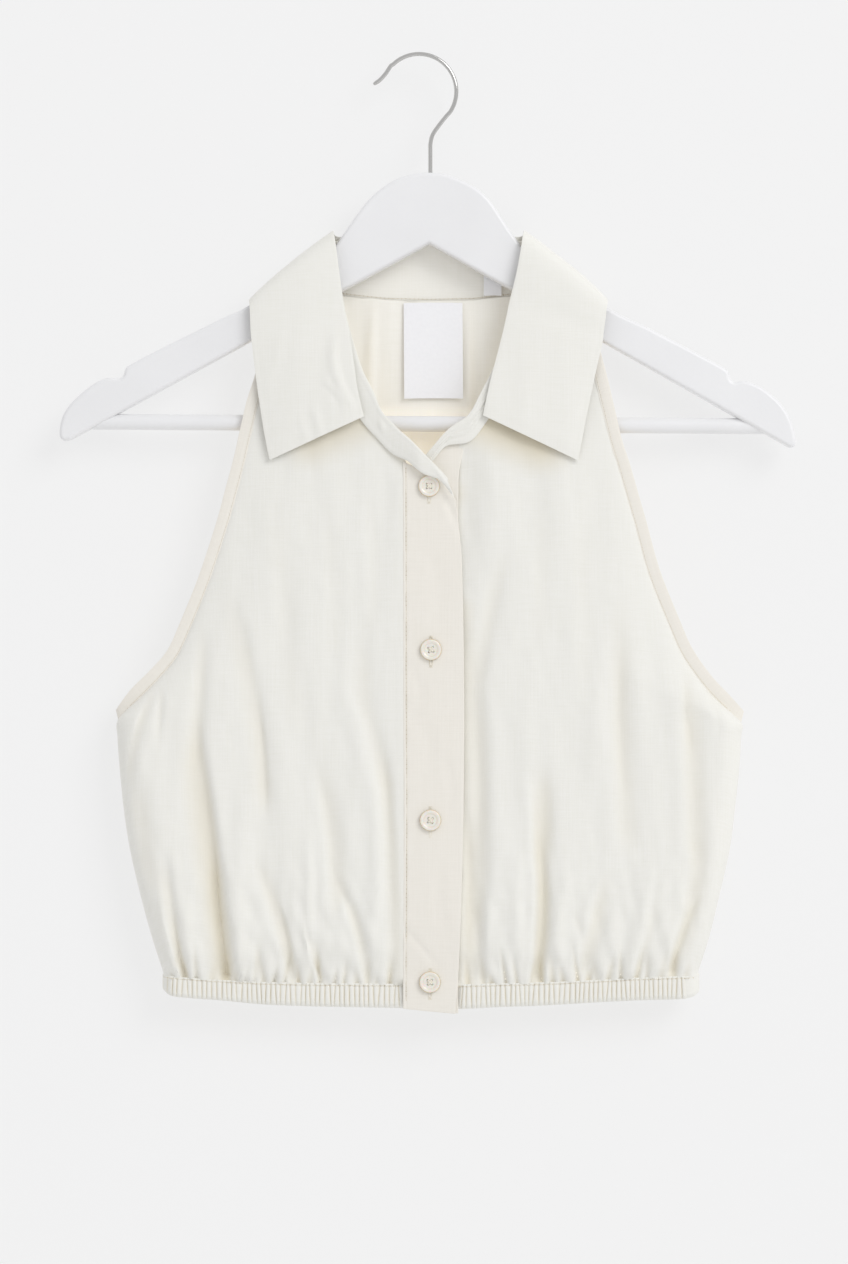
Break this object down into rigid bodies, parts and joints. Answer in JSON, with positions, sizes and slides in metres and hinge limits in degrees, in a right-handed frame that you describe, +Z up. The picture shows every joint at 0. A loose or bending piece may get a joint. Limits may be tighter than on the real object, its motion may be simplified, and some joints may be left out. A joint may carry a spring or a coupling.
{
  "type": "sleeveless crop top on a clothes hanger",
  "caption": "Cream halter-cut crop top with a shirt collar, button placket and elasticated hem, hung on a white wooden hanger.",
  "frame": {"origin": "inside top of the hook's arc, where the hanger bears on a rail", "axes": "+Z up, -Y out of the garment's front, +X to the right as the front is looked at"},
  "size_m": [0.4385, 0.0355, 0.5732],
  "materials": {
    "cloth": "plain-woven cream cotton, matte",
    "tape": "white woven tape, slight satin",
    "buttons": "cream resin, polished rim",
    "painted_wood": "white satin paint",
    "hook_wire": "bright plated steel wire"
  },
  "bodies": {
    "root": {"front_right": "cloth", "front_left": "cloth", "back": "cloth", "placket": "cloth", "under_placket": "cloth", "collar_stand": "cloth", "collar_fall": "cloth", "armhole_binding_right": "cloth", "armhole_binding_left": "cloth", "hem_channel_front_right": "cloth", "hem_channel_front_left": "cloth", "hem_channel_back": "cloth", "button_1": "buttons", "button_2": "buttons", "button_3": "buttons", "button_4": "buttons", "neck_label": "tape", "size_tab": "tape", "hanger_body": "painted_wood", "hanger_bar": "painted_wood", "hanger_hook": "hook_wire"}
  },
  "joints": []
}
